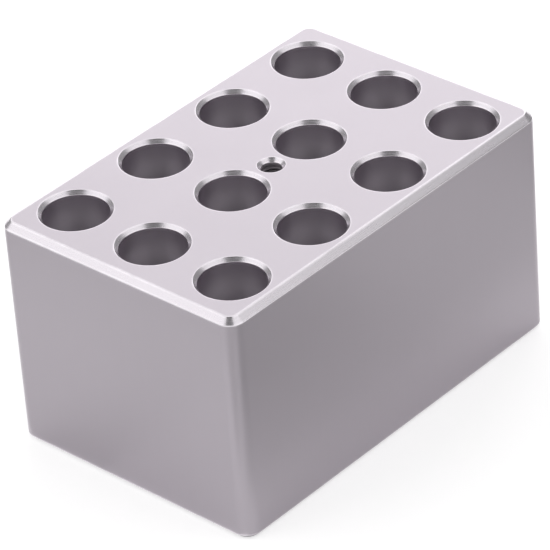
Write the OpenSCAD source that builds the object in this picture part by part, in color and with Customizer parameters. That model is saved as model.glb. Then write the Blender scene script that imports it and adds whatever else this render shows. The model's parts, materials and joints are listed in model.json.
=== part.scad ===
// Heat block insert for a dry bath.
// One piece machined from solid aluminium: a block with chamfered rims and rounded upright corners,
// a grid of blind wells that hold test tubes, and one tapped hole in the middle of the top face that
// takes the screw of the lifting tool.
// Frame: millimetres, origin at the middle of the underside, X along the block, Z up.

/* [Block] */
// Length of the block, along X
block_length = 110; // [108:0.5:140]
// Width of the block, along Y
block_width = 72.5; // [70:0.5:100]
// Height of the block, along Z
block_height = 61; // [58:0.5:90]
// Radius of the four upright corners
corner_radius = 4; // [2.5:0.5:6]
// Leg of the 45 degree chamfer round the top face
top_chamfer = 1.6; // [0.4:0.1:2]
// Leg of the 45 degree chamfer round the underside
bottom_chamfer = 1.2; // [0.4:0.1:2]

/* [Wells] */
// Number of wells along the block
wells_along = 4; // [1:1:4]
// Number of wells across the block
wells_across = 3; // [1:1:3]
// Distance between well axes along the block
pitch_along = 27.4; // [26.5:0.1:28]
// Distance between well axes across the block
pitch_across = 24.2; // [23:0.1:24.4]
// Diameter of a well's wall
well_diameter = 16; // [8:0.5:17]
// Depth of a well's wall, from the top face to the shoulder of the drill point
well_depth = 50; // [10:1:51]
// Included angle of the drill point that ends every hole
drill_point_angle = 118; // [90:1:140]
// Leg of the 45 degree chamfer round the mouth of every hole
mouth_chamfer = 0.9; // [0.3:0.1:1]

/* [Lifting hole] */
// Diameter of the drilled core that the lifting thread is tapped in
lift_core_diameter = 5; // [3:0.1:5]
// Depth of the drilled core, from the top face to the shoulder of its drill point
lift_depth = 16; // [8:1:30]

/* [Hidden] */
$fn = 96;
// How far a cutter stands out of the top face, so that it leaves no skin
overshoot = 1;
half_length = block_length / 2;
half_width = block_width / 2;
// Columns of wells stand in rows and across rows about the block's middle
column_xs = [for (i = [0 : wells_along - 1]) (i - (wells_along - 1) / 2) * pitch_along];
row_ys = [for (j = [0 : wells_across - 1]) (j - (wells_across - 1) / 2) * pitch_across];

// Upright section of the block out to half_span, with the chamfers of its underside and top.
function rim_outline(half_span) = [
    [half_span - bottom_chamfer, 0],
    [half_span, bottom_chamfer],
    [half_span, block_height - top_chamfer],
    [half_span - top_chamfer, block_height]
];

// The same section carried over to the other side.
function mirrored(outline) = [for (k = [len(outline) - 1 : -1 : 0]) [-outline[k].x, outline[k].y]];

function full_section(half_span) = concat(rim_outline(half_span), mirrored(rim_outline(half_span)));

// A bar of the block's full section, standing on Z = 0 and centred on the origin, length_y long.
module section_bar(half_span, length_y) {
    rotate([90, 0, 0])
        linear_extrude(height = length_y, center = true)
            polygon(full_section(half_span));
}

// One upright corner: a post that carries both chamfers round as cones.
module corner_post() {
    rotate_extrude()
        polygon(concat([[0, 0]], rim_outline(corner_radius), [[0, block_height]]));
}

// The block before any hole is drilled.
module blank() {
    section_bar(half_length, block_width - 2 * corner_radius);
    rotate([0, 0, 90])
        section_bar(half_width, block_length - 2 * corner_radius);
    for (x = [-1, 1] * (half_length - corner_radius))
        for (y = [-1, 1] * (half_width - corner_radius))
            translate([x, y, 0]) corner_post();
}

// Cutter for a drilled hole with its mouth in the plane Z = 0: a 45 degree chamfer, a straight wall
// and a drill point.
module drilled_hole(radius, depth) {
    point_depth = radius / tan(drill_point_angle / 2);
    rotate_extrude()
        polygon([
            [0, overshoot],
            [radius + mouth_chamfer + overshoot, overshoot],
            [radius, -mouth_chamfer],
            [radius, -depth],
            [0, -depth - point_depth]
        ]);
}

module well_cutters() {
    for (x = column_xs)
        for (y = row_ys)
            translate([x, y, block_height])
                drilled_hole(well_diameter / 2, well_depth);
}

module lifting_hole_cutter() {
    translate([0, 0, block_height])
        drilled_hole(lift_core_diameter / 2, lift_depth);
}

module heat_block() {
    color([0.73, 0.72, 0.74])
        difference() {
            blank();
            well_cutters();
            lifting_hole_cutter();
        }
}

heat_block();
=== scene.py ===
"""Dresses the heat block insert: the machined block, its lifting hole's thread and a plain studio."""

import json
import logging
import math
from collections.abc import Iterable, Sequence
from dataclasses import dataclass
from enum import Enum

import bmesh
import bpy
from bmesh.types import BMVert
from bpy.types import ID, Material, Mesh, Node, NodeSocket, NodeTree, Object
from mathutils import Matrix, Vector
from mathutils.geometry import delaunay_2d_cdt


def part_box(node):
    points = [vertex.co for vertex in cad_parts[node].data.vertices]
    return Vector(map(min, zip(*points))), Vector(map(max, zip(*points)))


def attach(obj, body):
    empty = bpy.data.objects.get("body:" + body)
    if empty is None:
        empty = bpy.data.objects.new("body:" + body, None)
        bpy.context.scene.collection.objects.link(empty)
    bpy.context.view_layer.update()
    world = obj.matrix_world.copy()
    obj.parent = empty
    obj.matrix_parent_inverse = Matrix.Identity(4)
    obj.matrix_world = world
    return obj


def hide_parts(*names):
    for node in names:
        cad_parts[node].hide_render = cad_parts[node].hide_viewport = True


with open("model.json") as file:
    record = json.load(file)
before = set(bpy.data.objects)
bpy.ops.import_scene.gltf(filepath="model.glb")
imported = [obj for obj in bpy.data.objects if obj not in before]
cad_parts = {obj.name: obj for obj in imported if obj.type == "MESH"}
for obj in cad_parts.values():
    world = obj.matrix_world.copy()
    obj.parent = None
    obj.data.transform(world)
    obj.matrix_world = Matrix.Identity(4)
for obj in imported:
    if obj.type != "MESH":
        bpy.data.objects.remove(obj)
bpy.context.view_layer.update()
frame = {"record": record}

log = logging.getLogger("heat_block")

MM = 0.001
NODE = "heat_block"

# Points closer than this are one point
WELD = 0.002 * MM
# How far an edge's wear and painted highlight fade out over the faces beside it
FADE = 0.35 * MM
# Edges that turn more sharply than this are shaded as edges
SHARP = math.radians(30)
# Turns a reflection's stretch from along the tool marks to across them, as a part of a full turn
QUARTER_TURN = 0.25
# Attributes of the metal: where the tool ran, and how near an edge is
LAY, EDGE = "lay", "edge"
# Helpers that the finished mesh doesn't keep: the finish of a face, and the middle of its well
FINISH, CENTRE = "finish", "centre"

Colour = tuple[float, float, float]
Inputs = dict[str | int, object]


class Finish(Enum):
    """The finishes of the machined surfaces, in the order of the block's material slots."""

    SATIN = 0
    CHAMFER = 1
    BORE = 2
    THREAD = 3


# ----------------------------------------------- node trees


class Socket(Enum):
    """The types of a group's sockets."""

    FLOAT = "NodeSocketFloat"
    INTEGER = "NodeSocketInt"
    VECTOR = "NodeSocketVector"
    GEOMETRY = "NodeSocketGeometry"
    MATERIAL = "NodeSocketMaterial"
    OBJECT = "NodeSocketObject"


@dataclass(frozen=True)
class Tree:
    """A node tree, with short calls that add nodes and join them."""

    tree: NodeTree

    def node(self, kind: str, inputs: Inputs | None = None, **values: object) -> Node:
        """Adds a node.

        Args:
            kind: the node's type name.
            inputs: what goes into its inputs, by name or place: a socket or a plain value for each.
            values: attributes of the node, such as its operation.

        Returns:
            The new node.
        """
        made = self.tree.nodes.new(kind)
        for name, value in values.items():
            setattr(made, name, value)
        for name, source in (inputs or {}).items():
            self.join(source, made.inputs[name])
        return made

    def out(self, kind: str, inputs: Inputs | None = None, **values: object) -> NodeSocket:
        """Adds a node, and gives its first output."""
        return self.node(kind, inputs, **values).outputs[0]

    def join(self, source: object, target: NodeSocket) -> None:
        """Links a socket to an input, or sets the input to a plain value.

        Args:
            source: an output socket, or a plain value.
            target: the input socket.
        """
        if isinstance(source, NodeSocket):
            self.tree.links.new(source, target)
        else:
            target.default_value = source

    def math(self, operation: str, *terms: object, clamp: bool = False) -> NodeSocket:
        """Adds a Math node over sockets or numbers, whose result may be held between 0 and 1."""
        return self.out("ShaderNodeMath", dict(enumerate(terms)), operation=operation, use_clamp=clamp)

    def vector_math(self, operation: str, *terms: object) -> NodeSocket:
        """Adds a Vector Math node over sockets or vectors."""
        return self.out("ShaderNodeVectorMath", dict(enumerate(terms)), operation=operation)

    def about(self, pattern: NodeSocket, middle: object, spread: float) -> NodeSocket:
        """Turns a pattern of 0 to 1 into a value that varies about a middle, over a spread."""
        return self.math("MULTIPLY_ADD", self.math("SUBTRACT", pattern, 0.5), spread, middle)

    def ease_range(
        self, value: NodeSocket, start: float, end: float, at_start: float, at_end: float
    ) -> NodeSocket:
        """Maps start to end onto at_start to at_end, smoothly, and holds the ends."""
        terms = dict(enumerate((value, start, end, at_start, at_end)))
        return self.out("ShaderNodeMapRange", terms, interpolation_type="SMOOTHSTEP")

    def noise(self, place: NodeSocket, cells: object, layers: float) -> NodeSocket:
        """Adds a Noise Texture with so many cells to a metre, and so many finer layers over them."""
        return self.out("ShaderNodeTexNoise", {"Vector": place, "Scale": cells, "Detail": layers})

    def store(
        self, geometry: NodeSocket, name: str, value: NodeSocket, domain: str = "POINT"
    ) -> NodeSocket:
        """Stores vectors on a geometry, as an attribute.

        Args:
            geometry: the geometry's socket.
            name: the attribute's name.
            value: the socket of the vectors.
            domain: what carries them.

        Returns:
            The socket of the geometry that has them.
        """
        inputs = {"Geometry": geometry, "Name": name, "Value": value}
        kind = "GeometryNodeStoreNamedAttribute"
        return self.out(kind, inputs, data_type="FLOAT_VECTOR", domain=domain)


@dataclass(frozen=True)
class Group:
    """A node group under construction: its tree and the sockets at its two ends."""

    build: Tree
    start: Node
    end: Node

    @classmethod
    def new(cls, kind: str, name: str, takes: dict[str, Socket], gives: dict[str, Socket]) -> "Group":
        """Starts a group.

        Args:
            kind: the type name of its tree.
            name: the group's name.
            takes: the type of each input, by name.
            gives: the type of each output, by name.

        Returns:
            The group, with nothing yet between its ends.
        """
        tree = bpy.data.node_groups.new(name, kind)
        for in_out, sockets in (("INPUT", takes), ("OUTPUT", gives)):
            for socket, carries in sockets.items():
                tree.interface.new_socket(name=socket, in_out=in_out, socket_type=carries.value)
        build = Tree(tree)
        return cls(build, build.node("NodeGroupInput"), build.node("NodeGroupOutput"))

    def take(self, name: str) -> NodeSocket:
        """The socket that an input of the group arrives at."""
        return self.start.outputs[name]

    def give(self, name: str, source: NodeSocket) -> None:
        """Sends a socket to an output of the group."""
        self.build.join(source, self.end.inputs[name])

    def give_dressed(self, geometry: NodeSocket) -> None:
        """Sends a geometry out of the group, dressed in the material of its Finish input."""
        inputs = {"Geometry": geometry, "Material": self.take("Finish")}
        self.give("Geometry", self.build.out("GeometryNodeSetMaterial", inputs))


def new_object(name: str, data: ID) -> Object:
    """Puts an object in the scene.

    Args:
        name: the object's name.
        data: its mesh, lamp or camera.

    Returns:
        The object.
    """
    made = bpy.data.objects.new(name, data)
    bpy.context.scene.collection.objects.link(made)
    return made


def run_tree(tree: NodeTree, name: str, inputs: dict[str, object]) -> Mesh:
    """Runs a Geometry Nodes tree and keeps its result.

    Args:
        tree: the tree.
        name: the name of the result.
        inputs: the values of the tree's inputs, by name.

    Returns:
        The result as a plain mesh.
    """
    carrier = new_object(name, bpy.data.meshes.new(name))
    modifier = carrier.modifiers.new(name, "NODES")
    modifier.node_group = tree
    for item in tree.interface.items_tree:
        if item.in_out == "INPUT":
            modifier[item.identifier] = inputs[item.name]
    graph = bpy.context.evaluated_depsgraph_get()
    made = bpy.data.meshes.new_from_object(
        carrier.evaluated_get(graph), preserve_all_data_layers=True, depsgraph=graph
    )
    bpy.data.objects.remove(carrier)
    return made


# ------------------------------------------------- finishes


class SurfaceGroups:
    """The node groups that the aluminium's finishes share."""

    def __init__(self) -> None:
        """Builds each group once."""
        self.grain = self._grain()
        self.tool_marks = self._tool_marks()
        self.edge_wear = self._edge_wear_and_highlight()

    def _grain(self) -> NodeTree:
        """Builds the metal's fine grain, alike in all directions, and softer clouds.

        Returns:
            The group.
        """
        group = Group.new(
            "ShaderNodeTree",
            "metal_grain",
            {"Place": Socket.VECTOR, "Grain cells": Socket.FLOAT, "Cloud cells": Socket.FLOAT},
            {"Grain": Socket.FLOAT, "Clouds": Socket.FLOAT},
        )
        build, place = group.build, group.take("Place")
        group.give("Grain", build.noise(place, group.take("Grain cells"), layers=2.0))
        group.give("Clouds", build.noise(place, group.take("Cloud cells"), layers=4.0))
        return build.tree

    def _tool_marks(self) -> NodeTree:
        """Builds the marks of a cutting tool, long the way that it ran and fine across it.

        Returns:
            The group.
        """
        group = Group.new(
            "ShaderNodeTree",
            "tool_marks",
            {"Lay": Socket.VECTOR, "Round cells": Socket.FLOAT, "Rise cells": Socket.FLOAT},
            {"Marks": Socket.FLOAT},
        )
        build = group.build
        across, up = group.take("Round cells"), group.take("Rise cells")
        stretch = build.out("ShaderNodeCombineXYZ", {"X": across, "Y": across, "Z": up})
        place = build.vector_math("MULTIPLY", group.take("Lay"), stretch)
        group.give("Marks", build.noise(place, cells=1.0, layers=3.0))
        return build.tree

    def _edge_wear_and_highlight(self) -> NodeTree:
        """Builds the mask of the uneven polish that handling leaves along the edges, which also carries a
        painted highlight there.

        Returns:
            The group.
        """
        group = Group.new(
            "ShaderNodeTree",
            "edge_wear",
            {"Edge": Socket.FLOAT, "Place": Socket.VECTOR, "Patch cells": Socket.FLOAT},
            {"Wear": Socket.FLOAT},
        )
        build = group.build
        patches = build.noise(group.take("Place"), group.take("Patch cells"), layers=3.0)
        held = build.ease_range(patches, start=0.35, end=0.6, at_start=0.35, at_end=1.0)
        group.give("Wear", build.math("MULTIPLY", group.take("Edge"), held, clamp=True))
        return build.tree


@dataclass(frozen=True)
class Aluminium:
    """A finish of the aluminium. Heights are in metres, and cells are to a metre.

    Round cells are how finely the tool marks change round the piece, and rise cells how finely up
    it. The stretch, from 0 to 1, is how far a reflection is drawn out across round marks.
    """

    name: str
    colour: Colour
    # The lighter colour along the edges: partly wear, partly a painted highlight
    worn_and_highlight: Colour
    roughness: float
    round_cells: float
    rise_cells: float
    mark_height: float
    grain_height: float
    grain_cells: float = 2600.0
    cloud_cells: float = 60.0
    patch_cells: float = 160.0
    cloud_spread: float = 0.06
    mark_spread: float = 0.06
    wear_polish: float = 0.3
    stretch: float = 0.0

    def gloss(self, shader: Tree, place: NodeSocket) -> NodeSocket | float:
        """The roughness before clouds, marks and wear, as a number or a socket."""
        return self.roughness

    def material(self, groups: SurfaceGroups) -> Material:
        """Makes the finish's material.

        Args:
            groups: the node groups that the finishes share.

        Returns:
            The material.
        """
        made = bpy.data.materials.new(self.name)
        made.use_nodes = True
        shader = Tree(made.node_tree)
        place = shader.node("ShaderNodeTexCoord").outputs["Object"]
        lay = shader.node("ShaderNodeAttribute", attribute_name=LAY).outputs["Vector"]
        edge = shader.node("ShaderNodeAttribute", attribute_name=EDGE).outputs["Fac"]
        texture = shader.node(
            "ShaderNodeGroup",
            {"Place": place, "Grain cells": self.grain_cells, "Cloud cells": self.cloud_cells},
            node_tree=groups.grain,
        )
        marks = shader.node(
            "ShaderNodeGroup",
            {"Lay": lay, "Round cells": self.round_cells, "Rise cells": self.rise_cells},
            node_tree=groups.tool_marks,
        ).outputs["Marks"]
        wear_and_highlight = shader.node(
            "ShaderNodeGroup",
            {"Edge": edge, "Place": place, "Patch cells": self.patch_cells},
            node_tree=groups.edge_wear,
        ).outputs["Wear"]

        # Where a Mix node has its sockets for colours
        factor, start, end, mixed = 0, 6, 7, 2
        # The edges take the lighter worn colour: partly wear, partly a painted highlight along them
        tint = shader.node(
            "ShaderNodeMix",
            {factor: wear_and_highlight, start: (*self.colour, 1.0), end: (*self.worn_and_highlight, 1.0)},
            data_type="RGBA",
        )
        clouded = shader.about(texture.outputs["Clouds"], self.gloss(shader, place), self.cloud_spread)
        marked = shader.about(marks, clouded, self.mark_spread)
        polish = shader.math("MULTIPLY", marked, shader.math("MULTIPLY", wear_and_highlight, self.wear_polish))
        grained = shader.math("MULTIPLY", texture.outputs["Grain"], self.grain_height)
        height = shader.math("MULTIPLY_ADD", marks, self.mark_height, grained)
        bump = shader.out("ShaderNodeBump", {"Strength": 1.0, "Distance": 1.0, "Height": height})

        principled = made.node_tree.nodes["Principled BSDF"]
        principled.inputs["Metallic"].default_value = 1.0
        if self.stretch:
            surface = shader.node("ShaderNodeNewGeometry").outputs["Normal"]
            around = shader.vector_math("CROSS_PRODUCT", surface, (0, 0, 1))
            principled.inputs["Anisotropic"].default_value = self.stretch
            principled.inputs["Anisotropic Rotation"].default_value = QUARTER_TURN
            shader.join(around, principled.inputs["Tangent"])
        shader.join(tint.outputs[mixed], principled.inputs["Base Color"])
        shader.join(shader.math("SUBTRACT", marked, polish), principled.inputs["Roughness"])
        shader.join(bump, principled.inputs["Normal"])
        return made


@dataclass(frozen=True)
class BoredAluminium(Aluminium):
    """The finish of a bore: bright and smooth near the mouth, and dull where it was drilled deep."""

    deep_roughness: float = 0.9
    bright_above: float = 60 * MM
    dull_below: float = 46 * MM

    def gloss(self, shader: Tree, place: NodeSocket) -> NodeSocket:
        """The roughness before clouds, marks and wear, by the height in the block.

        Args:
            shader: the material's tree.
            place: the socket of the Object coordinates.

        Returns:
            The roughness's socket.
        """
        height = shader.node("ShaderNodeSeparateXYZ", {0: place}).outputs["Z"]
        deep, bright = self.deep_roughness, self.roughness
        return shader.ease_range(height, self.dull_below, self.bright_above, deep, bright)


FINISHES: dict[Finish, Aluminium] = {
    Finish.SATIN: Aluminium(
        name="satin_face",
        colour=(0.55, 0.508, 0.553),
        worn_and_highlight=(0.66, 0.62, 0.665),
        roughness=0.38,
        round_cells=900.0,
        rise_cells=20.0,
        mark_height=0.6e-6,
        grain_height=0.8e-6,
    ),
    Finish.CHAMFER: Aluminium(
        name="bright_chamfer",
        colour=(0.77, 0.73, 0.775),
        worn_and_highlight=(0.86, 0.82, 0.865),
        roughness=0.27,
        round_cells=60.0,
        rise_cells=3200.0,
        mark_height=0.8e-6,
        grain_height=0.3e-6,
    ),
    Finish.BORE: BoredAluminium(
        name="bored_wall",
        colour=(0.58, 0.535, 0.585),
        worn_and_highlight=(0.64, 0.595, 0.645),
        roughness=0.28,
        stretch=0.85,
        round_cells=90.0,
        rise_cells=1600.0,
        mark_height=0.25e-6,
        grain_height=0.4e-6,
        cloud_spread=0.03,
        mark_spread=0.03,
    ),
    # The thread's grey is darker than the faces': painted shade for the inside of the lifting hole
    Finish.THREAD: Aluminium(
        name="cut_thread",
        colour=(0.42, 0.39, 0.42),
        worn_and_highlight=(0.48, 0.45, 0.48),
        roughness=0.8,
        round_cells=120.0,
        rise_cells=4000.0,
        mark_height=0.6e-6,
        grain_height=0.4e-6,
    ),
}


# ----------------------------------------------------- form


@dataclass(frozen=True)
class Station:
    """A place on a section: how far out it is, its height, its edge mark and its distance along."""

    reach: float
    height: float
    edge: float
    travel: float


@dataclass(frozen=True)
class Section:
    """A section of the block's surface: straight runs, whose first corners are slightly eased edges."""

    corners: tuple[tuple[float, float], ...]
    finishes: tuple[Finish, ...]
    eased: int
    ease: float
    steps: int = 4

    def _corner(self, k: int) -> Iterable[tuple[Vector, float, Finish]]:
        """Walks round a corner.

        Args:
            k: which corner it is.

        Yields:
            Each place, its edge mark, and the finish of the band that leads to it.
        """
        before, corner, after = (Vector(c) for c in self.corners[k - 1 : k + 2])
        led, leads = self.finishes[k - 1 : k + 1]
        if k > self.eased:
            yield corner, 0.0, led
            return
        back, ahead = (before - corner).normalized(), (after - corner).normalized()
        land = self.ease + FADE
        if k > 1:
            yield corner + back * land, 0.0, led
        for step in range(self.steps + 1):
            t = step / self.steps
            place = corner + back * self.ease * (1 - t) ** 2 + ahead * self.ease * t**2
            yield place, 1.0, Finish.CHAMFER if step else led
        yield corner + ahead * land, 0.0, leads

    def stations(self) -> tuple[list[Station], list[Finish]]:
        """Walks along the section.

        Returns:
            The stations, and the finish of each band between two of them.
        """
        walk = [step for k in range(1, len(self.corners) - 1) for step in self._corner(k)]
        end = Vector(self.corners[-1])
        if (end - walk[-1][0]).length > WELD:
            walk.append((end, 0.0, self.finishes[-1]))
        place, travel = Vector(self.corners[0]), 0.0
        stations = [Station(place.x, place.y, 0.0, travel)]
        for after, edge, _ in walk:
            travel += (after - place).length
            place = after
            stations.append(Station(place.x, place.y, edge, travel))
        return stations, [finish for *_, finish in walk]


@dataclass(frozen=True)
class Ring:
    """A closed loop of points on the surface, with the tool's lay at each and the ring's edge mark."""

    places: list[Vector]
    lays: list[Vector]
    edge: float

    def moved(self, by: Vector) -> "Ring":
        """The same ring elsewhere."""
        return Ring([p + by for p in self.places], [p + by for p in self.lays], self.edge)


@dataclass(frozen=True)
class BlockForm:
    """The block's outer form, in metres. The CAD frame gives its box."""

    length: float
    width: float
    height: float
    corner_radius: float = 4 * MM
    top_chamfer: float = 1.6 * MM
    bottom_chamfer: float = 1.2 * MM
    edge_ease: float = 0.2 * MM
    corner_steps: int = 16

    @classmethod
    def from_frame(cls) -> "BlockForm":
        """Reads the block's box from the CAD frame."""
        low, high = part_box(NODE)
        return cls(*(high - low))

    def outline(self, inset: float, height: float) -> list[Vector]:
        """The block's rounded outline, drawn in by an inset, counter-clockwise seen from above.

        Args:
            inset: how far inside the block's sides it runs.
            height: its height.

        Returns:
            The outline's points.
        """
        radius = self.corner_radius - inset
        reach_x = self.length / 2 - self.corner_radius
        reach_y = self.width / 2 - self.corner_radius
        points = []
        for quarter, (side_x, side_y) in enumerate(((1, 1), (-1, 1), (-1, -1), (1, -1))):
            for k in range(self.corner_steps + 1):
                angle = (quarter + k / self.corner_steps) * math.pi / 2
                x = side_x * reach_x + radius * math.cos(angle)
                y = side_y * reach_y + radius * math.sin(angle)
                points.append(Vector((x, y, height)))
        return points

    def rings(self) -> tuple[list[Ring], list[Finish]]:
        """The block's outer surface, from its underside up its side to its top face.

        Returns:
            The rings, and the finish of each band between two of them.
        """
        land = self.edge_ease + FADE
        section = Section(
            corners=(
                (self.bottom_chamfer + land, 0.0),
                (self.bottom_chamfer, 0.0),
                (0.0, self.bottom_chamfer),
                (0.0, self.height - self.top_chamfer),
                (self.top_chamfer, self.height),
                (self.top_chamfer + land, self.height),
            ),
            finishes=(Finish.SATIN, Finish.CHAMFER, Finish.SATIN, Finish.CHAMFER, Finish.SATIN),
            eased=4,
            ease=self.edge_ease,
        )
        stations, bands = section.stations()
        rings = [
            Ring(self.outline(s.reach, s.height), self.outline(0.0, s.travel), s.edge) for s in stations
        ]
        return rings, bands


@dataclass(frozen=True)
class Hole:
    """A drilled hole as its mount states it: its axis, its wall and the heights that the wall joins."""

    x: float
    y: float
    radius: float
    wall_top: float
    wall_bottom: float

    @classmethod
    def from_mount(cls, mount: dict) -> "Hole":
        """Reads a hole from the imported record.

        Args:
            mount: a mount with a round wall.

        Returns:
            The hole.
        """
        x, y, z = mount["pos_m"]
        half = mount["dims"]["length_mm"] * MM / 2
        return cls(x, y, mount["dims"]["r_mm"] * MM, z + half, z - half)


class Skin:
    """A mesh under construction, of bands between rings, tips and flat plates, each with its finish."""

    def __init__(self) -> None:
        """Starts an empty skin."""
        self.bm = bmesh.new()
        self.lay = self.bm.verts.layers.float_vector.new(LAY)
        self.edge = self.bm.verts.layers.float.new(EDGE)
        self.finish = self.bm.faces.layers.int.new(FINISH)

    def _vert(self, place: Vector, lay: Vector, edge: float = 0.0) -> BMVert:
        """Adds a point with its lay and its edge mark."""
        vert = self.bm.verts.new(place)
        vert[self.lay], vert[self.edge] = lay, edge
        return vert

    def _row(self, ring: Ring) -> list[BMVert]:
        """Adds the points of a ring."""
        return [self._vert(p, lay, ring.edge) for p, lay in zip(ring.places, ring.lays)]

    def _face(self, corners: Iterable[BMVert], finish: Finish) -> None:
        """Adds a smooth face with its finish."""
        face = self.bm.faces.new(corners)
        face[self.finish], face.smooth = finish.value, True

    def bands(self, rings: Sequence[Ring], finishes: Sequence[Finish]) -> None:
        """Joins rings with bands of faces.

        Args:
            rings: rings with as many points each.
            finishes: the finish of each band between two rings.
        """
        rows = [self._row(ring) for ring in rings]
        for near, far, finish in zip(rows, rows[1:], finishes):
            for k, vert in enumerate(near):
                after = (k + 1) % len(near)
                self._face((vert, near[after], far[after], far[k]), finish)

    def tip(self, ring: Ring, tip: Vector, finish: Finish) -> None:
        """Closes a ring with a cone.

        Args:
            ring: the cone's rim.
            tip: the cone's tip.
            finish: the cone's finish.
        """
        rim = self._row(ring)
        slant = (ring.places[0] - tip).length
        end = self._vert(tip, Vector((tip.x, tip.y, ring.lays[0].z + slant)))
        for k, vert in enumerate(rim):
            self._face((vert, rim[(k + 1) % len(rim)], end), finish)

    def plate(self, rim: Ring, holes: Sequence[Ring], finish: Finish) -> None:
        """Fills a flat ring with triangles, but for the round holes in it.

        Args:
            rim: the plate's outer ring.
            holes: the rings of its holes.
            finish: the plate's finish.
        """
        loops = (rim, *holes)
        places = [p for loop in loops for p in loop.places]
        lays = [p for loop in loops for p in loop.lays]
        edges, first = [], 0
        for loop in loops:
            count = len(loop.places)
            edges += [(first + k, first + (k + 1) % count) for k in range(count)]
            first += count
        inside_only, tolerance = 1, 1e-9
        flat, _, faces, sources, *_ = delaunay_2d_cdt(
            [p.xy for p in places], edges, [], inside_only, tolerance
        )
        verts = [self._vert(places[source[0]], lays[source[0]]) for source in sources]
        centres = [sum((p.xy for p in hole.places), Vector((0, 0))) / len(hole.places) for hole in holes]
        radii = [(hole.places[0].xy - centre).length for hole, centre in zip(holes, centres)]
        for corners in faces:
            middle = sum((flat[k] for k in corners), Vector((0, 0))) / len(corners)
            if all((middle - centre).length > radius for centre, radius in zip(centres, radii)):
                self._face([verts[k] for k in corners], finish)

    def add(self, mesh: Mesh) -> None:
        """Takes over the faces of a mesh that carries the same attributes.

        Args:
            mesh: the mesh, which isn't kept.
        """
        self.bm.from_mesh(mesh)
        bpy.data.meshes.remove(mesh)

    def part(self, name: str) -> Mesh:
        """Turns the skin, which isn't kept, into a mesh as it is."""
        made = bpy.data.meshes.new(name)
        self.bm.to_mesh(made)
        self.bm.free()
        return made

    def closed(self, name: str) -> Mesh:
        """Welds the whole skin into a closed mesh that faces outwards.

        Args:
            name: the mesh's name.

        Returns:
            The mesh.
        """
        bmesh.ops.remove_doubles(self.bm, verts=self.bm.verts, dist=WELD)
        bmesh.ops.recalc_face_normals(self.bm, faces=self.bm.faces)
        for face in self.bm.faces:
            face.material_index = face[self.finish]
        made = self.part(name)
        for helper in (FINISH, CENTRE):
            made.attributes.remove(made.attributes[helper])
        return made


@dataclass(frozen=True)
class Lining:
    """The turned surface of a hole on the origin, from the land round its mouth down to its tip."""

    section: Section
    point_angle: float = math.radians(118)
    segments: int = 96

    def rings(self) -> tuple[list[Ring], list[Finish]]:
        """The lining's rings, from the mouth down.

        Returns:
            The rings, and the finish of each band between two of them.
        """
        stations, bands = self.section.stations()
        rim = stations[0].reach
        rings = [
            Ring(self._circle(s.reach, s.height), self._circle(rim, s.travel), s.edge) for s in stations
        ]
        return rings, bands

    def tip(self) -> Vector:
        """Where the drill point ends."""
        radius, floor = self.section.corners[-1]
        return Vector((0, 0, floor - radius / math.tan(self.point_angle / 2)))

    def _circle(self, radius: float, height: float) -> list[Vector]:
        """A ring of points about the axis."""
        turns = (2 * math.pi * k / self.segments for k in range(self.segments))
        return [Vector((radius * math.cos(a), radius * math.sin(a), height)) for a in turns]

    def mesh(self, name: str) -> Mesh:
        """Builds the lining, open at its mouth.

        Args:
            name: the mesh's name.

        Returns:
            The mesh.
        """
        skin = Skin()
        rings, bands = self.rings()
        skin.bands(rings, bands)
        skin.tip(rings[-1], self.tip(), bands[-1])
        return skin.part(name)


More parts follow.
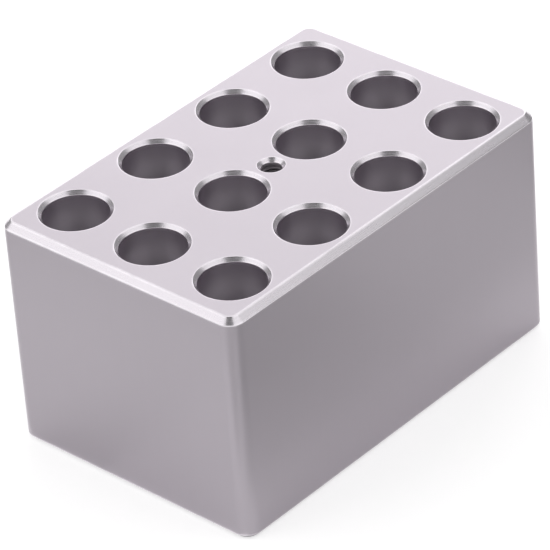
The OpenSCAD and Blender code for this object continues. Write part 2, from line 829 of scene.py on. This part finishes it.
@dataclass(frozen=True)
class WellGrid:
    """The pattern of wells: how many stand each way, and how far apart."""

    along: int
    across: int
    pitch_along: float
    pitch_across: float

    @classmethod
    def from_wells(cls, wells: Sequence[Hole]) -> "WellGrid":
        """Reads the pattern from the wells' places.

        Args:
            wells: all the wells.

        Returns:
            The pattern.
        """
        # Places in metres, to the nearest micrometre
        digits = 6
        columns = sorted({round(well.x, digits) for well in wells})
        rows = sorted({round(well.y, digits) for well in wells})
        return cls(len(columns), len(rows), columns[1] - columns[0], rows[1] - rows[0])

    def centres(self) -> list[Vector]:
        """The wells' places about the middle of the block."""
        return [
            Vector((i * self.pitch_along, j * self.pitch_across, 0.0))
            for i in (k - (self.along - 1) / 2 for k in range(self.along))
            for j in (k - (self.across - 1) / 2 for k in range(self.across))
        ]

    def linings(self, lining: Mesh, finish: Material) -> Mesh:
        """Stands a well's lining at each place of the pattern.

        Args:
            lining: the lining of a well that stands on the origin, which isn't kept.
            finish: the material of the linings until they join the block.

        Returns:
            All the linings as one mesh.
        """
        group = Group.new(
            "GeometryNodeTree",
            "well_grid",
            {
                "Lining": Socket.OBJECT,
                "Wells along": Socket.INTEGER,
                "Wells across": Socket.INTEGER,
                "Pitch along": Socket.FLOAT,
                "Pitch across": Socket.FLOAT,
                "Finish": Socket.MATERIAL,
            },
            {"Geometry": Socket.GEOMETRY},
        )
        build, take = group.build, group.take
        sizes = [
            build.math("MULTIPLY", build.math("SUBTRACT", take(wells), 1.0), take(pitch))
            for wells, pitch in (("Wells along", "Pitch along"), ("Wells across", "Pitch across"))
        ]
        grid = build.out(
            "GeometryNodeMeshGrid",
            {
                "Size X": sizes[0],
                "Size Y": sizes[1],
                "Vertices X": take("Wells along"),
                "Vertices Y": take("Wells across"),
            },
        )
        source = build.node("GeometryNodeObjectInfo", {"Object": take("Lining")}).outputs["Geometry"]
        wells = build.out("GeometryNodeInstanceOnPoints", {"Points": grid, "Instance": source})
        centred = build.store(wells, CENTRE, build.out("GeometryNodeInputPosition"), domain="INSTANCE")
        real = build.out("GeometryNodeRealizeInstances", {"Geometry": centred})
        lay, centre = (
            build.out("GeometryNodeInputNamedAttribute", {"Name": name}, data_type="FLOAT_VECTOR")
            for name in (LAY, CENTRE)
        )
        group.give_dressed(build.store(real, LAY, build.vector_math("ADD", lay, centre)))
        template = new_object("well_lining", lining)
        made = run_tree(
            build.tree,
            "well_linings",
            {
                "Lining": template,
                "Wells along": self.along,
                "Wells across": self.across,
                "Pitch along": self.pitch_along,
                "Pitch across": self.pitch_across,
                "Finish": finish,
            },
        )
        bpy.data.objects.remove(template)
        return made


@dataclass(frozen=True)
class LiftingThread:
    """The thread of the lifting hole: the ridge that stands proud between its grooves."""

    core_radius: float
    ridge: float = 0.5 * MM
    sunk: float = 0.04 * MM
    pitch: float = 1.0 * MM
    crest: float = 0.25 * MM
    flank: float = math.radians(30)
    first_depth: float = 1.5 * MM
    turns: int = 11
    steps_per_turn: int = 64
    run_in_turns: float = 0.6
    tip_scale: float = 0.02

    @property
    def groove_radius(self) -> float:
        """The radius of the hole's wall between the ridges."""
        return self.core_radius + self.ridge

    @property
    def length(self) -> float:
        """How far down the hole the thread runs."""
        return self.turns * self.pitch

    def _tree(self) -> NodeTree:
        """Builds the tree that winds a ridge round an upright axis.

        Returns:
            The tree.
        """
        group = Group.new(
            "GeometryNodeTree",
            "thread_ridge",
            {
                "Path radius": Socket.FLOAT,
                "Pitch": Socket.FLOAT,
                "Turns": Socket.FLOAT,
                "Steps per turn": Socket.INTEGER,
                "Ridge": Socket.FLOAT,
                "Crest": Socket.FLOAT,
                "Root": Socket.FLOAT,
                "Run-in turns": Socket.FLOAT,
                "Tip scale": Socket.FLOAT,
                "Lowest": Socket.FLOAT,
                "Finish": Socket.MATERIAL,
            },
            {"Geometry": Socket.GEOMETRY},
        )
        build, take = group.build, group.take
        helix = build.out(
            "GeometryNodeCurveSpiral",
            {
                "Resolution": take("Steps per turn"),
                "Rotations": take("Turns"),
                "Start Radius": take("Path radius"),
                "End Radius": take("Path radius"),
                "Height": build.math("MULTIPLY", take("Turns"), take("Pitch")),
            },
        )
        upright = build.out("GeometryNodeSetCurveNormal", {"Curve": helix}, mode="Z_UP")
        profile = build.out(
            "GeometryNodeCurvePrimitiveQuadrilateral",
            {
                "Height": take("Ridge"),
                "Bottom Width": take("Root"),
                "Top Width": take("Crest"),
                "Offset": 0.0,
            },
            mode="TRAPEZOID",
        )
        rise = build.out("ShaderNodeCombineXYZ", {"Y": build.math("MULTIPLY", take("Ridge"), 0.5)})
        based = build.out("GeometryNodeTransform", {"Geometry": profile, "Translation": rise})
        turned = build.out(
            "GeometryNodeTransform", {"Geometry": based, "Rotation": (0.0, 0.0, -math.pi / 2)}
        )
        along = build.out("GeometryNodeSplineParameter")
        to_end = build.math("MINIMUM", along, build.math("SUBTRACT", 1.0, along))
        in_turns = build.math("MULTIPLY", to_end, take("Turns"))
        swell = build.math("DIVIDE", in_turns, take("Run-in turns"), clamp=True)
        ridge = build.out(
            "GeometryNodeCurveToMesh",
            {
                "Curve": upright,
                "Profile Curve": turned,
                "Scale": build.math("MAXIMUM", swell, take("Tip scale")),
                "Fill Caps": True,
            },
        )
        lift = build.out("ShaderNodeCombineXYZ", {"Z": take("Lowest")})
        placed = build.out("GeometryNodeTransform", {"Geometry": ridge, "Translation": lift})
        laid = build.store(placed, LAY, build.out("GeometryNodeInputPosition"))
        group.give_dressed(build.out("GeometryNodeRealizeInstances", {"Geometry": laid}))
        return build.tree

    def build(self, top: float, material: Material) -> Object:
        """Winds the thread.

        Args:
            top: the height of the block's top face.
            material: the finish of the thread.

        Returns:
            The thread's object.
        """
        ridge = self.ridge + self.sunk
        mesh = run_tree(
            self._tree(),
            "lifting_thread",
            {
                "Path radius": self.groove_radius + self.sunk,
                "Pitch": self.pitch,
                "Turns": float(self.turns),
                "Steps per turn": self.steps_per_turn,
                "Ridge": ridge,
                "Crest": self.crest,
                "Root": self.crest + 2 * ridge * math.tan(self.flank),
                "Run-in turns": self.run_in_turns,
                "Tip scale": self.tip_scale,
                "Lowest": top - self.first_depth - self.length,
                "Finish": material,
            },
        )
        bm = bmesh.new()
        bm.from_mesh(mesh)
        bmesh.ops.recalc_face_normals(bm, faces=bm.faces)
        bm.to_mesh(mesh)
        bm.free()
        return new_object("lifting_thread", mesh)


@dataclass(frozen=True)
class HeatBlock:
    """The machined block: its blank, its wells and its lifting hole."""

    form: BlockForm
    wells: list[Hole]
    lifting: Hole
    thread: LiftingThread
    mouth_ease: float = 0.06 * MM
    land_above_thread: float = 0.6 * MM
    groove_lead: float = 0.5 * MM
    large_face_pull: int = 100

    def mouth(self, hole: Hole) -> tuple[tuple[float, float], ...]:
        """The section's corners round the mouth of a hole, down to the top of its wall."""
        top = self.form.height
        rim = hole.radius + top - hole.wall_top
        return (rim + self.mouth_ease + FADE, top), (rim, top), (hole.radius, hole.wall_top)

    def well_lining(self) -> Lining:
        """The surface of one well."""
        well = self.wells[0]
        return Lining(
            Section(
                corners=(*self.mouth(well), (well.radius, well.wall_bottom)),
                finishes=(Finish.SATIN, Finish.CHAMFER, Finish.BORE),
                eased=2,
                ease=self.mouth_ease,
            )
        )

    def lifting_lining(self) -> Lining:
        """The surface of the lifting hole, without the ridge of its thread."""
        hole, groove = self.lifting, self.thread.groove_radius
        start = hole.wall_top - self.land_above_thread
        end = start - self.thread.length
        return Lining(
            Section(
                corners=(
                    *self.mouth(hole),
                    (hole.radius, start),
                    (groove, start - self.groove_lead),
                    (groove, end),
                    (hole.radius, end - self.groove_lead),
                    (hole.radius, hole.wall_bottom),
                ),
                finishes=(Finish.SATIN, Finish.CHAMFER, *[Finish.THREAD] * 4, Finish.BORE),
                eased=2,
                ease=self.mouth_ease,
            )
        )

    def build(self, materials: dict[Finish, Material]) -> Object:
        """Builds the block.

        Args:
            materials: the material of each finish.

        Returns:
            The block's object.
        """
        skin = Skin()
        rings, bands = self.form.rings()
        skin.bands(rings, bands)
        grid = WellGrid.from_wells(self.wells)
        well, lifting = self.well_lining(), self.lifting_lining()
        mouths = [well.rings()[0][0].moved(centre) for centre in grid.centres()]
        skin.plate(rings[0], [], Finish.SATIN)
        skin.plate(rings[-1], [*mouths, lifting.rings()[0][0]], Finish.SATIN)
        skin.add(grid.linings(well.mesh("well_lining"), materials[Finish.BORE]))
        skin.add(lifting.mesh("lifting_lining"))
        mesh = skin.closed("heat_block_body")
        for finish in Finish:
            mesh.materials.append(materials[finish])
        mesh.set_sharp_from_angle(angle=SHARP)
        piece = new_object("heat_block_body", mesh)
        even = piece.modifiers.new("even_shading", "WEIGHTED_NORMAL")
        even.mode = "FACE_AREA"
        even.weight = self.large_face_pull
        even.keep_sharp = True
        return piece


# --------------------------------------------------- studio


def facing(azimuth: float, elevation: float, distance: float, centre: Vector) -> Matrix:
    """The place of a flat thing that hangs round the block and faces it.

    Args:
        azimuth: where it hangs, in degrees about Z from +X, counter-clockwise seen from above.
        elevation: where it hangs, in degrees above the floor.
        distance: how far it hangs from the block's middle.
        centre: the block's middle.

    Returns:
        The matrix that carries the thing from the XY plane to its place.
    """
    a, e = math.radians(azimuth), math.radians(elevation)
    away = Vector((math.cos(a) * math.cos(e), math.sin(a) * math.cos(e), math.sin(e)))
    turn = away.to_track_quat("Z", "Y").to_matrix().to_4x4()
    return Matrix.Translation(centre + away * distance) @ turn


def card(
    name: str, width: float, height: float, place: Matrix, shade: float, glow: float = 0.0
) -> Object:
    """A flat piece of the stage.

    Args:
        name: the card's name.
        width: its size along X, before it is placed.
        height: its size along Y, before it is placed.
        place: the matrix that carries it from the XY plane to its place.
        shade: its grey, from 0 to 1.
        glow: how much brighter it looks than the light on it makes it.

    Returns:
        The card's object.
    """
    mesh = bpy.data.meshes.new(name)
    x, y = width / 2, height / 2
    mesh.from_pydata([(-x, -y, 0), (x, -y, 0), (x, y, 0), (-x, y, 0)], [], [(0, 1, 2, 3)])
    mesh.transform(place)
    mesh.materials.append(matte(name, shade, glow))
    made = new_object(name, mesh)
    return made


def reflect_only(made: Object) -> None:
    """Leaves a card to the metal alone: it shows in reflections, and nowhere else."""
    made.visible_camera = made.visible_diffuse = made.visible_shadow = False


@dataclass(frozen=True)
class Mat:
    """A card that lies on the floor. Only the metal sees it, and it throws no shadow."""

    name: str
    x: float
    y: float
    width: float
    height: float
    shade: float
    lift: float = 0.5 * MM

    def build(self) -> None:
        """Lays the card on the floor."""
        place = Matrix.Translation((self.x, self.y, self.lift))
        reflect_only(card(self.name, self.width, self.height, place, self.shade))


@dataclass(frozen=True)
class Flag:
    """A dark card that faces the block. Only the metal sees it, and it throws no shadow."""

    name: str
    azimuth: float
    elevation: float
    distance: float
    width: float
    height: float
    shade: float = 0.03

    def build(self, centre: Vector) -> None:
        """Hangs the card so that it faces the block's middle."""
        place = facing(self.azimuth, self.elevation, self.distance, centre)
        reflect_only(card(self.name, self.width, self.height, place, self.shade))


@dataclass(frozen=True)
class Softbox:
    """A flat studio lamp that faces the block, in a dark housing."""

    name: str
    azimuth: float
    elevation: float
    distance: float
    width: float
    height: float
    radiance: float
    housing_gap: float = 10 * MM

    def build(self, centre: Vector) -> None:
        """Hangs the lamp.

        Args:
            centre: the block's middle.
        """
        lamp = bpy.data.lights.new(self.name, "AREA")
        lamp.shape = "RECTANGLE"
        lamp.size, lamp.size_y = self.width, self.height
        lamp.energy = self.radiance * math.pi * self.width * self.height
        made = new_object(self.name, lamp)
        made.matrix_world = facing(self.azimuth, self.elevation, self.distance, centre)
        behind = self.distance + self.housing_gap
        housing = Flag(
            f"{self.name}_housing", self.azimuth, self.elevation, behind, self.width, self.height
        )
        housing.build(centre)


def seen(shader: Tree) -> NodeSocket:
    """1 for what the camera sees directly, in a reflection or through glass, and 0 for other light.

    Args:
        shader: the node tree to add to.

    Returns:
        The mask's socket.
    """
    path = shader.node("ShaderNodeLightPath")
    mirrored = shader.math("MAXIMUM", path.outputs["Is Glossy Ray"], path.outputs["Is Transmission Ray"])
    return shader.math("MAXIMUM", path.outputs["Is Camera Ray"], mirrored)


def matte(name: str, shade: float, glow: float = 0.0) -> Material:
    """A plain matte material for the stage.

    Args:
        name: the material's name.
        shade: its grey, from 0 to 1.
        glow: how much brighter it looks than the light on it makes it.

    Returns:
        The material.
    """
    made = bpy.data.materials.new(name)
    made.use_nodes = True
    shader = Tree(made.node_tree)
    principled = made.node_tree.nodes["Principled BSDF"]
    principled.inputs["Base Color"].default_value = (shade, shade, shade, 1.0)
    principled.inputs["Roughness"].default_value = 1.0
    principled.inputs["Specular IOR Level"].default_value = 0.0
    if glow:
        shader.join(shader.math("MULTIPLY", seen(shader), glow), principled.inputs["Emission Strength"])
    return made


@dataclass(frozen=True)
class Camera:
    """The camera, by where it looks and from where. At azimuth 0 it looks along +Y."""

    target: tuple[float, float, float] = (-0.898 * MM, 0.675 * MM, 30.22 * MM)
    azimuth: float = -46.486
    elevation: float = 33.606
    roll: float = -4.428
    distance: float = 1002.5 * MM
    lens: float = 276.39
    sensor: float = 36.0
    nearest: float = 10 * MM
    farthest: float = 20.0

    def build(self) -> None:
        """Places the camera and makes it the scene's own."""
        data = bpy.data.cameras.new("camera")
        data.lens = self.lens
        data.sensor_width = self.sensor
        data.clip_start, data.clip_end = self.nearest, self.farthest
        made = new_object("camera", data)
        place = facing(self.azimuth - 90, self.elevation, self.distance, Vector(self.target))
        made.matrix_world = place @ Matrix.Rotation(math.radians(self.roll), 4, "Z")
        bpy.context.scene.camera = made


@dataclass
class Studio:
    """The floor, the lamps, the cards and the world."""

    floor_side: float = 6.0
    floor_drop: float = 0.05 * MM
    floor_shade: float = 0.62
    floor_glow: float = 0.5
    sky: float = 0.8
    white: float = 1.0
    lamps: tuple[Softbox, ...] = (
        Softbox(
            "left_softbox", azimuth=140, elevation=38, distance=1.5, width=1.2, height=1.0, radiance=1.14
        ),
        Softbox(
            "right_softbox", azimuth=-82, elevation=50, distance=1.5, width=0.9, height=0.84, radiance=1.0
        ),
        Softbox(
            "back_softbox", azimuth=33, elevation=24, distance=0.7, width=0.56, height=0.4, radiance=1.6
        ),
    )
    flags: tuple[Flag, ...] = (
        Flag(
            "flag_over_camera", azimuth=-147.5, elevation=57, distance=1.5, width=1.0, height=0.8, shade=0.17
        ),
        Flag("flag_right", azimuth=-14, elevation=16, distance=1.5, width=2.14, height=1.14, shade=0.42),
        Flag("flag_left", azimuth=86, elevation=6, distance=1.5, width=1.3, height=1.12, shade=0.39),
    )
    mats: tuple[Mat, ...] = (
        Mat("mat_right_close", x=0.018, y=-0.046, width=0.186, height=0.02, shade=0.84),
        Mat("mat_right_next", x=0.018, y=-0.068, width=0.186, height=0.024, shade=0.64),
        Mat("mat_right_near", x=-0.018, y=-0.24, width=0.114, height=0.32, shade=0.41),
        Mat("mat_right_middle", x=0.075, y=-0.24, width=0.072, height=0.32, shade=0.64),
        Mat("mat_right_far", x=0.24, y=-0.218, width=0.258, height=0.364, shade=0.49),
        Mat("mat_left_near", x=-0.098, y=-0.013, width=0.084, height=0.046, shade=0.86),
        Mat("mat_left_middle", x=-0.098, y=0.06, width=0.084, height=0.1, shade=0.78),
        Mat("mat_left_back", x=-0.255, y=0.21, width=0.398, height=0.2, shade=0.57),
        Mat("mat_left_far", x=-0.297, y=0.037, width=0.314, height=0.146, shade=0.6),
        Mat("mat_corner", x=-0.23, y=-0.24, width=0.3, height=0.4, shade=0.6),
        Mat("mat_under", x=0.0, y=0.0, width=0.11, height=0.0725, shade=0.75, lift=-0.02 * MM),
    )

    def build(self, centre: Vector) -> None:
        """Builds the studio round the block.

        Args:
            centre: the block's middle.
        """
        low = Matrix.Translation((0, 0, -self.floor_drop))
        card("floor", self.floor_side, self.floor_side, low, self.floor_shade, self.floor_glow)
        for lamp in self.lamps:
            lamp.build(centre)
        for flag in self.flags:
            flag.build(centre)
        for mat in self.mats:
            mat.build()
        world = bpy.data.worlds.new("world")
        world.use_nodes = True
        shader = Tree(world.node_tree)
        background = world.node_tree.nodes["Background"]
        background.inputs["Color"].default_value = (1, 1, 1, 1)
        extra = shader.math("MULTIPLY", seen(shader), self.white - self.sky)
        shader.join(shader.math("ADD", extra, self.sky), background.inputs["Strength"])
        bpy.context.scene.world = world


def main() -> None:
    logging.basicConfig(level=logging.INFO, format="%(message)s")
    groups = SurfaceGroups()
    materials = {finish: metal.material(groups) for finish, metal in FINISHES.items()}
    mounts = frame["record"]["mounts"]
    wells = [Hole.from_mount(mount) for mount in mounts if mount["kind"] == "bore"]
    lifting = next(Hole.from_mount(mount) for mount in mounts if mount["kind"] == "threaded_hole")
    form, thread = BlockForm.from_frame(), LiftingThread(lifting.radius)
    pieces = (
        HeatBlock(form, wells, lifting, thread).build(materials),
        thread.build(form.height, materials[Finish.THREAD]),
    )
    for piece in pieces:
        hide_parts(NODE)
        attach(piece, "root")
        log.info("%s: %d faces", piece.name, len(piece.data.polygons))
    Camera().build()
    Studio().build(Vector((0, 0, form.height / 2)))
    bpy.context.scene.view_settings.view_transform = "Standard"


if __name__ == "__main__":
    main()
